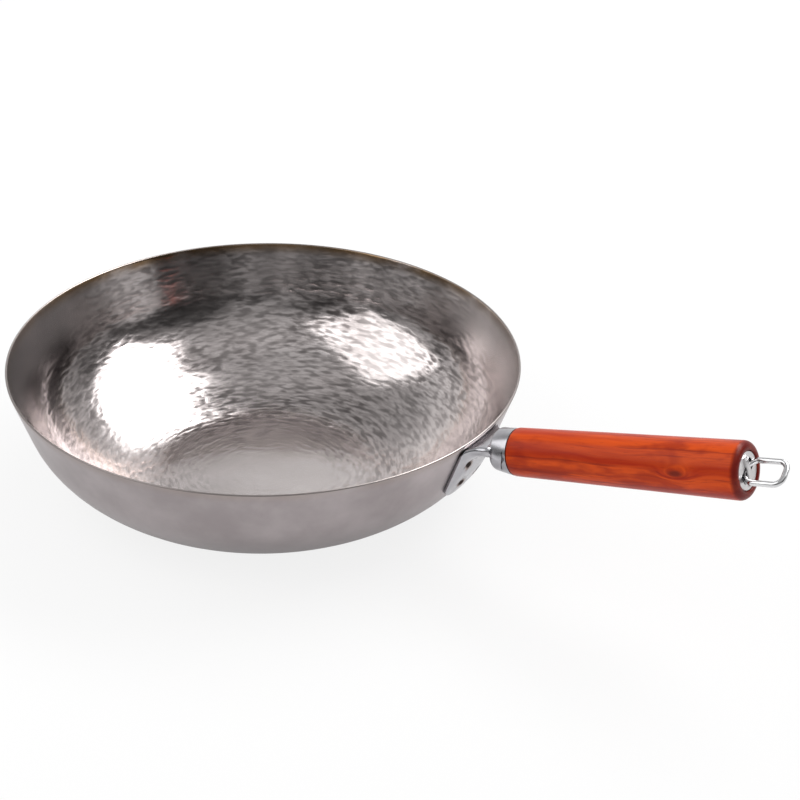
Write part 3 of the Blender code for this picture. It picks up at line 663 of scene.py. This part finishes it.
def burn(made, spot, cloud, base, rough, metal):
    """One burnt spot and its mirror image across the handle's plane."""
    x, y, z = made.split(made.place)
    away = [axis - value for axis, value in zip((x, y.math("ABSOLUTE"), z), spot)]
    reach = (away[0] * away[0] + away[1] * away[1] + away[2] * away[2]) ** 0.5
    reach = reach + (cloud - 0.5) * RAGGED_EDGE
    base = made.mix((1 - reach.step(*HALO_REACH)) * 0.75, base, BURNT_HALO)
    # The near-black core is burnt scale and painted shade over the dimple's pit.
    base = made.mix((1 - reach.step(*CORE_REACH)) * 0.97, base, BURNT_CORE_AND_PIT_SHADE)
    scale = 1 - reach.step(*SCALE_REACH)
    return base, rough + scale * 0.35, metal - scale * 0.6


def steel_finish(name, light, dark, rough, burnt=()):
    """Brushed steel, cloudy between two colours, with burnt spots if it has any."""
    made = Finish(name)
    along = made.mapping(made.place, scale=BRUSHED_GRAIN, turn=(0.0, HANDLE_RISE, 0.0))
    brushed = made.noise(along, 1.0, 3.0, 0.6)
    cloud = made.noise(made.place, 90.0, 3.0, 0.55)
    base = made.mix(cloud.step(0.3, 0.7), dark, light)
    rough = rough + brushed * 0.06 + cloud * 0.05
    metal = 1.0
    for spot in burnt:
        base, rough, metal = burn(made, spot, cloud, base, rough, metal)
    return made.surface(Base_Color=base, Metallic=metal, Roughness=rough,
                        Normal=made.bump(brushed, STEEL_BUMP_DEPTH))


satin_steel = steel_finish("satin_steel", colour(0.58, 0.57, 0.59), colour(0.48, 0.47, 0.49), 0.18)
pressed_steel = steel_finish("pressed_steel", colour(0.50, 0.495, 0.520),
                             colour(0.41, 0.405, 0.430), 0.17, BURNT_SPOTS)
disc_steel = steel_finish("disc_steel", colour(0.68, 0.67, 0.67), colour(0.58, 0.57, 0.57), 0.29)
zinc_steel = steel_finish("zinc_steel", colour(0.66, 0.68, 0.70), colour(0.52, 0.54, 0.56), 0.34)
wire_steel = steel_finish("wire_steel", colour(0.74, 0.74, 0.75), colour(0.66, 0.66, 0.67), 0.10)
SOLID_FINISHES = {"anchor_plate": zinc_steel, "tie_bolt": zinc_steel, "bolt_washer": zinc_steel,
                  "end_cup": satin_steel, "end_plate": disc_steel}
for name, finish in SOLID_FINISHES.items():
    for slot in nodes[name].material_slots:
        slot.material = finish
print("steel finishes on", len(SOLID_FINISHES), "solid pieces")

# %% [markdown]
# ## The bracket's surface
# The bracket keeps its form. Its faces come apart at their edges in the solid model, so a
# copy is merged first, and then every curved part shades as one surface, with its sharp
# edges kept. The neck's long highlight needs that.

# %% Bracket mesh
BRACKET_SHARP = 38.0
MERGE_DISTANCE = 0.000002


def bracket_copy():
    """A merged copy of the solid bracket, smooth apart from its sharp edges."""
    source = nodes["handle_bracket"]
    shape = bmesh.new()
    shape.from_mesh(source.data)
    bmesh.ops.transform(shape, matrix=source.matrix_world, verts=shape.verts)
    bmesh.ops.remove_doubles(shape, verts=shape.verts, dist=MERGE_DISTANCE)
    made = piece("pressed_bracket", shape, pressed_steel, BRACKET_SHARP)
    for face in made.data.polygons:
        face.material_index = 0
    return made


bracket = bracket_copy()
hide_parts("handle_bracket")
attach(bracket, "wok")
print("bracket has", len(bracket.data.polygons), "faces")

# %% [markdown]
# ## The wooden grip
# The grip is turned from a red-brown hardwood and lacquered. Its grain runs along the
# axis, so the noise is stretched along it: a slow one for the colour bands, a faster one
# for the dark streaks and a very fine one for the pores. Near the rear end the bands
# bend round a small knot. End grain drinks more stain, so the rounded end is darker.

# %% Wood
GRIP_START = 0.0254
GRIP_LENGTH = 0.1562
GRIP_END = GRIP_START + GRIP_LENGTH
GRIP_FRONT_RADIUS = 0.0149
GRIP_REAR_RADIUS = 0.0175
GRIP_FRONT_ROUND = 0.0016
GRIP_REAR_ROUND = 0.0042
WOOD_LIGHT = colour(0.68, 0.080, 0.008)
WOOD_DARK = colour(0.38, 0.020, 0.003)
WOOD_BLOTCH = colour(0.27, 0.012, 0.004)
WOOD_STREAK = colour(0.21, 0.012, 0.005)
WOOD_PORE = colour(0.12, 0.008, 0.004)
WOOD_KNOT = colour(0.11, 0.010, 0.006)
WOOD_END = colour(0.12, 0.008, 0.007)
KNOT_PLACE = (0.143, 0.003)
KNOT_SIZE = (0.012, 0.005)
WOOD_BUMP_DEPTH = 0.00008


def grip_place(made):
    """A place as distances along the handle's line, sideways and above it."""
    start = Matrix.Rotation(HANDLE_RISE, 3, "Y") @ HANDLE_START
    return made.split(made.mapping(made.place, turn=(0.0, HANDLE_RISE, 0.0), move=tuple(-start)))


def wood_finish():
    """Lacquered rosewood, whose grain follows the grip."""
    made = Finish("lacquered_rosewood")
    along, side, up = grip_place(made)

    def figure(coarse, fine, bend_side, bend_up, detail=3.0, roughness=0.6):
        stretched = made.join(along * coarse, side * fine + bend_side, up * fine + bend_up)
        return made.noise(stretched, 1.0, detail, roughness)

    knot_along = (along - KNOT_PLACE[0]) / KNOT_SIZE[0]
    knot_up = (up - KNOT_PLACE[1]) / KNOT_SIZE[1]
    knot = 1 / (1 + (knot_along * knot_along + knot_up * knot_up) * 1.4)
    bend = figure(14.0, 30.0, 0.0, 0.0, 2.0, 0.5) * 0.9 + knot
    bands = figure(5.0, 110.0, bend, bend * 1.5, roughness=0.55)
    streaks = figure(9.0, 330.0, bend * 2.0, bend * 3.0)
    blotch = figure(24.0, 70.0, bend, bend)
    pores = figure(120.0, 1500.0, 0.0, 0.0, 2.0, 0.5)
    end = along.step(GRIP_END - GRIP_REAR_ROUND, GRIP_END - GRIP_REAR_ROUND * 0.35)
    base = made.mix(bands.step(0.32, 0.66), WOOD_DARK, WOOD_LIGHT)
    base = made.mix(blotch.step(0.46, 0.64) * 0.62, base, WOOD_BLOTCH)
    base = made.mix(streaks.step(0.52, 0.66) * 0.60, base, WOOD_STREAK)
    base = made.mix(pores.step(0.62, 0.75) * 0.35, base, WOOD_PORE)
    base = made.mix(knot.step(0.72, 0.98) * 0.75, base, WOOD_KNOT)
    base = made.mix(end * 0.85, base, WOOD_END)
    return made.surface(Base_Color=base, Metallic=0.0, Roughness=0.30 + streaks * 0.12,
                        Coat_Weight=0.06, Coat_Roughness=0.12, Specular_IOR_Level=0.12,
                        Normal=made.bump(streaks * 0.6 + pores * 0.4, WOOD_BUMP_DEPTH))


rosewood = wood_finish()
print("rosewood finish has", len(rosewood.node_tree.nodes), "nodes")

# %% [markdown]
# ## The grip's mesh
# The mesh is turned like the real grip: a rounded front, a long cone, a rounded rear end
# and the recess in which the disc sits. The hole for the cup is closed at the cup's
# bottom, which is behind the disc and doesn't show.

# %% Grip mesh
GRIP_SEGMENTS = 96
GRIP_SHARP = 50.0
CONE_STEPS = 24
PLATE_RADIUS = 0.0116
PLATE_SINK = 0.0023
PLATE_EDGE = 0.0003
CUP_OUTER = 0.0093
CUP_DEPTH = 0.012


def grip_profile():
    """Outline of the grip as (along, radius), front to rear."""
    points = [(GRIP_START, 0.0), (GRIP_START, GRIP_FRONT_RADIUS - GRIP_FRONT_ROUND)]
    for degrees in range(30, 91, 30):
        turn = math.radians(degrees)
        points.append((GRIP_START + GRIP_FRONT_ROUND * (1.0 - math.cos(turn)),
                       GRIP_FRONT_RADIUS - GRIP_FRONT_ROUND * (1.0 - math.sin(turn))))
    cone_start = GRIP_START + GRIP_FRONT_ROUND
    cone_end = GRIP_END - GRIP_REAR_ROUND
    for index in range(1, CONE_STEPS + 1):
        along = cone_start + (cone_end - cone_start) * index / CONE_STEPS
        share = (along - GRIP_START) / GRIP_LENGTH
        points.append((along, GRIP_FRONT_RADIUS + (GRIP_REAR_RADIUS - GRIP_FRONT_RADIUS) * share))
    rear = points[-1][1]
    for degrees in range(10, 91, 10):
        turn = math.radians(degrees)
        points.append((cone_end + GRIP_REAR_ROUND * math.sin(turn),
                       rear - GRIP_REAR_ROUND * (1.0 - math.cos(turn))))
    recess = PLATE_RADIUS + GAP
    seat = GRIP_END - PLATE_SINK
    points += [(GRIP_END, recess + PLATE_EDGE), (GRIP_END - PLATE_EDGE, recess), (seat, recess)]
    hole = CUP_OUTER + GAP
    bottom = GRIP_END - CUP_DEPTH
    return points + [(seat, hole), (bottom, hole), (bottom, 0.0)]


grip_shape = turned(grip_profile(), GRIP_SEGMENTS, lambda side, up, along: on_handle(along, side, up))
grip = piece("turned_grip", grip_shape, rosewood, GRIP_SHARP)
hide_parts("wooden_grip")
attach(grip, "wok")
print("grip has", len(grip.data.polygons), "faces")

# %% [markdown]
# ## The hanging ring
# The ring is one closed loop of polished wire. Half of its middle line is drawn from the
# eye behind the bar: an arc, a straight leg, a bend, a straight side, the far corner and
# the straight far end. The other half is its mirror image, and a round section is swept
# along the whole. The ring turns with the body of the same name.

# %% Ring
WIRE_RADIUS = 0.0018
WIRE_SIDES = 28
QUARTER = math.pi / 2
RING_AXIS = 0.17815
RING_LENGTH = 0.0263
RING_WIDTH = 0.0156
RING_EYE_RADIUS = 0.0060
RING_EYE_TURN = math.radians(50.0)
RING_SIDE_RADIUS = 0.0060
RING_CORNER_RADIUS = 0.0055
RING_ROLL = math.radians(30.0)


def arc(centre, radius, start, end, steps):
    """Points of an arc, without its first one. Angles are in radians."""
    turns = [start + (end - start) * index / steps for index in range(1, steps + 1)]
    return [Vector(centre) + radius * Vector((math.cos(turn), math.sin(turn))) for turn in turns]


def straight(start, end, steps):
    """Points of a straight line, without its first one."""
    return [start.lerp(end, index / steps) for index in range(1, steps + 1)]


def ring_line():
    """The ring's middle line as (out, across), all the way round."""
    leg = 2 * QUARTER - RING_EYE_TURN
    points = [Vector((0.0, 0.0))]
    points += arc((RING_EYE_RADIUS, 0.0), RING_EYE_RADIUS, 2 * QUARTER, leg, 16)
    bend = RING_WIDTH / 2 - RING_SIDE_RADIUS
    corner = Vector((0.0, bend)) + RING_SIDE_RADIUS * Vector((math.cos(leg), math.sin(leg)))
    run = (corner.y - points[-1].y) / math.cos(RING_EYE_TURN)
    middle = points[-1].x + run * math.sin(RING_EYE_TURN) - corner.x
    points += straight(points[-1], Vector((corner.x + middle, corner.y)), 4)
    points += arc((middle, bend), RING_SIDE_RADIUS, leg, QUARTER, 10)
    far = RING_LENGTH - RING_CORNER_RADIUS
    points += straight(points[-1], Vector((far, RING_WIDTH / 2)), 8)
    points += arc((far, RING_WIDTH / 2 - RING_CORNER_RADIUS), RING_CORNER_RADIUS, QUARTER, 0.0, 14)
    points += straight(points[-1], Vector((RING_LENGTH, 0.0)), 3)
    return points + [Vector((point.x, -point.y)) for point in reversed(points[1:-1])]


def swept(line, radius, sides, place):
    """A closed tube round a closed flat line."""
    shape = bmesh.new()
    loops = []
    for index, point in enumerate(line):
        along = (line[(index + 1) % len(line)] - line[index - 1]).normalized()
        away = Vector((along.y, -along.x))
        loop = []
        for side in range(sides):
            turn = 2.0 * math.pi * side / sides
            flat = point + away * radius * math.cos(turn)
            loop.append(shape.verts.new(place(flat.x, flat.y, radius * math.sin(turn))))
        loops.append(loop)
    for first, second in zip(loops, loops[1:] + loops[:1]):
        for side in range(sides):
            after = (side + 1) % sides
            shape.faces.new((first[side], first[after], second[after], second[side]))
    return shape


def on_ring(out, across, up):
    """A point of the ring's own plane, which is rolled about the handle's line."""
    side = across * math.cos(RING_ROLL) - up * math.sin(RING_ROLL)
    height = across * math.sin(RING_ROLL) + up * math.cos(RING_ROLL)
    return on_handle(RING_AXIS + out, side, height)


ring = piece("wire_ring", swept(ring_line(), WIRE_RADIUS, WIRE_SIDES, on_ring), wire_steel)
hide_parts("hanging_ring")
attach(ring, "ring")
print("ring has", len(ring.data.polygons), "faces")

# %% [markdown]
# ## The floor
# The floor is white, as in a catalogue picture, and keeps a soft shadow: where the camera
# or a shiny surface sees it, it is mostly white by itself, and for the rest it is lit.

# %% Floor
FLOOR_HALF_WIDTH = 6.0
FLOOR_SEEN_GLOW = 0.84
FLOOR_MIRRORED_GLOW = 0.40
WHITE = colour(1.0, 1.0, 1.0)
PALE = colour(0.92, 0.92, 0.92)


def ray_kinds(tree):
    """1 for a camera ray, and 1 for a ray that left a shiny or a clear surface."""
    rays = tree.node("ShaderNodeLightPath", out=None)
    return rays["Is Camera Ray"], rays["Is Glossy Ray"] + rays["Is Transmission Ray"]


def floor_piece():
    """A pale floor that glows a little where it is seen."""
    made = Finish("pale_floor")
    seen, mirrored = ray_kinds(made)
    made.surface(Base_Color=PALE, Roughness=0.9)
    glow = made.node("ShaderNodeEmission", inputs={"Color": WHITE, "Strength": 1.0})
    both = made.node("ShaderNodeMixShader", inputs={
        0: seen * FLOOR_SEEN_GLOW + mirrored * FLOOR_MIRRORED_GLOW,
        1: made.shader.outputs[0], 2: glow})
    made.feed(made.tree.nodes["Material Output"].inputs["Surface"], both)
    shape = bmesh.new()
    bmesh.ops.create_grid(shape, x_segments=1, y_segments=1, size=FLOOR_HALF_WIDTH)
    thing = piece("studio_floor", shape, made.material)
    return thing


floor = floor_piece()
print("floor is", round(floor.dimensions.x), "m wide")

# %% [markdown]
# ## The room
# Polished metal shows the room more than it shows itself, so the world matters as much
# here as the lamps do. It is white to the camera. To a shiny surface it is grey, with
# what a studio has round its table: a brighter wall beyond the wok, cloudy dark shapes on
# the near side, a dark doorway with a narrow window beside it, and one large bright panel
# high up beyond the wok. All of it depends on the direction alone, as far things do.

# %% Room
ROOM_LEVEL = 0.37
PANEL_LEVEL = 4.0
WINDOW_LEVEL = 0.6
PLAIN_LEVEL = 0.55


def bright_panel(x, y, z):
    """1 inside the panel high up, by its lower, upper and side edges."""
    turn = x / (1.0001 - z * z) ** 0.5
    lower = (z - 0.592 + turn * 0.105).step(-0.01, 0.01)
    upper = (0.950 - (turn - 0.35) * (turn - 0.35) * 0.31 - z).step(-0.01, 0.01)
    return lower * upper * (1 - turn.step(0.88, 0.94)) * y.step(0.0, 0.05)


def mirrored_room(tree, direction):
    """How bright the room is in a direction, as a shiny surface sees it."""
    x, y, z = tree.split(direction)
    beyond = ((y - x) * 0.707).step(-0.10, 0.95)
    low = 1 - z.step(0.40, 0.70)
    room = ROOM_LEVEL + z.step(0.80, 0.95) * 0.13 + low * (beyond * 0.66 - 0.13)
    shapes = tree.noise(direction, 4.5, 2.0, 0.6).step(0.40, 0.60)
    room = room * (1 + (1 - beyond) * (shapes * 1.1 - 0.6) * (1 - z.step(0.45, 0.7)))
    doorway = (x * 0.92 - y * 0.20 + z * 0.34).step(0.86, 0.975)
    spots = tree.noise(direction, 13.0, 2.0, 0.6).step(0.48, 0.58)
    ceiling = z.step(0.62, 0.78) * (x * 0.80 - y * 0.60).step(0.05, 0.40)
    room = room * (1 - doorway * (0.66 + spots * 0.32)) * (1 + ceiling * 0.45)
    window = (x * 0.98 + y * 0.16 + z * 0.08).step(0.955, 0.99)
    return room + window * WINDOW_LEVEL + bright_panel(x, y, z) * PANEL_LEVEL


def studio_world():
    """White to the camera, the room to shiny surfaces and plain light to dull ones."""
    world = bpy.data.worlds.new("studio")
    world.use_nodes = True
    tree = Tree(world.node_tree)
    seen, shiny = ray_kinds(tree)
    room = mirrored_room(tree, tree.node("ShaderNodeTexCoord", out="Generated"))
    level = seen + (1 - seen) * (shiny * room + (1 - shiny) * PLAIN_LEVEL)
    shade = world.node_tree.nodes["Background"]
    shade.inputs["Color"].default_value = WHITE
    tree.feed(shade.inputs["Strength"], level)
    return world


bpy.context.scene.world = studio_world()
print("room has", len(bpy.context.scene.world.node_tree.nodes), "nodes")

# %% [markdown]
# ## The lamps
# Two large soft lamps stand where their reflections fall in the bowl. A hollow mirror
# swaps the sides: the lamp on the near left gives the bright shape on the right, and the
# long lamp behind the wok gives the left one, together with the room's bright panel. It
# also lights the floor. A lamp's power is worked out from its area, so that its size can
# change while its reflection stays as bright.

# %% Lamps
def soft_lamp(name, middle, back, across, size, radiance):
    """A rectangular lamp at a point, by the directions of its back and its long side."""
    back = Vector(back).normalized()
    lamp = bpy.data.lights.new(name, "AREA")
    lamp.shape = "RECTANGLE"
    lamp.size, lamp.size_y = size
    lamp.energy = radiance * math.pi * size[0] * size[1]
    made = bpy.data.objects.new(name, lamp)
    bpy.context.scene.collection.objects.link(made)
    side = Vector(across)
    side = (side - back * side.dot(back)).normalized()
    turn = Matrix((side, back.cross(side), back)).transposed().to_4x4()
    made.matrix_world = Matrix.Translation(middle) @ turn
    return made


lamps = [
    soft_lamp("lamp_behind", middle=(-0.02, 1.20, 1.47), back=(0.664, 0.307, 0.682),
              across=(0.687, -0.610, -0.394), size=(2.50, 0.66), radiance=4.2),
    soft_lamp("lamp_left", middle=(-0.73, -0.76, 1.12), back=(-0.478, -0.569, 0.669),
              across=(-0.680, 0.722, 0.129), size=(1.56, 1.14), radiance=1.52)]
bpy.context.scene.view_settings.view_transform = "Standard"
print("lamps of", [round(lamp.data.energy, 1) for lamp in lamps], "W")
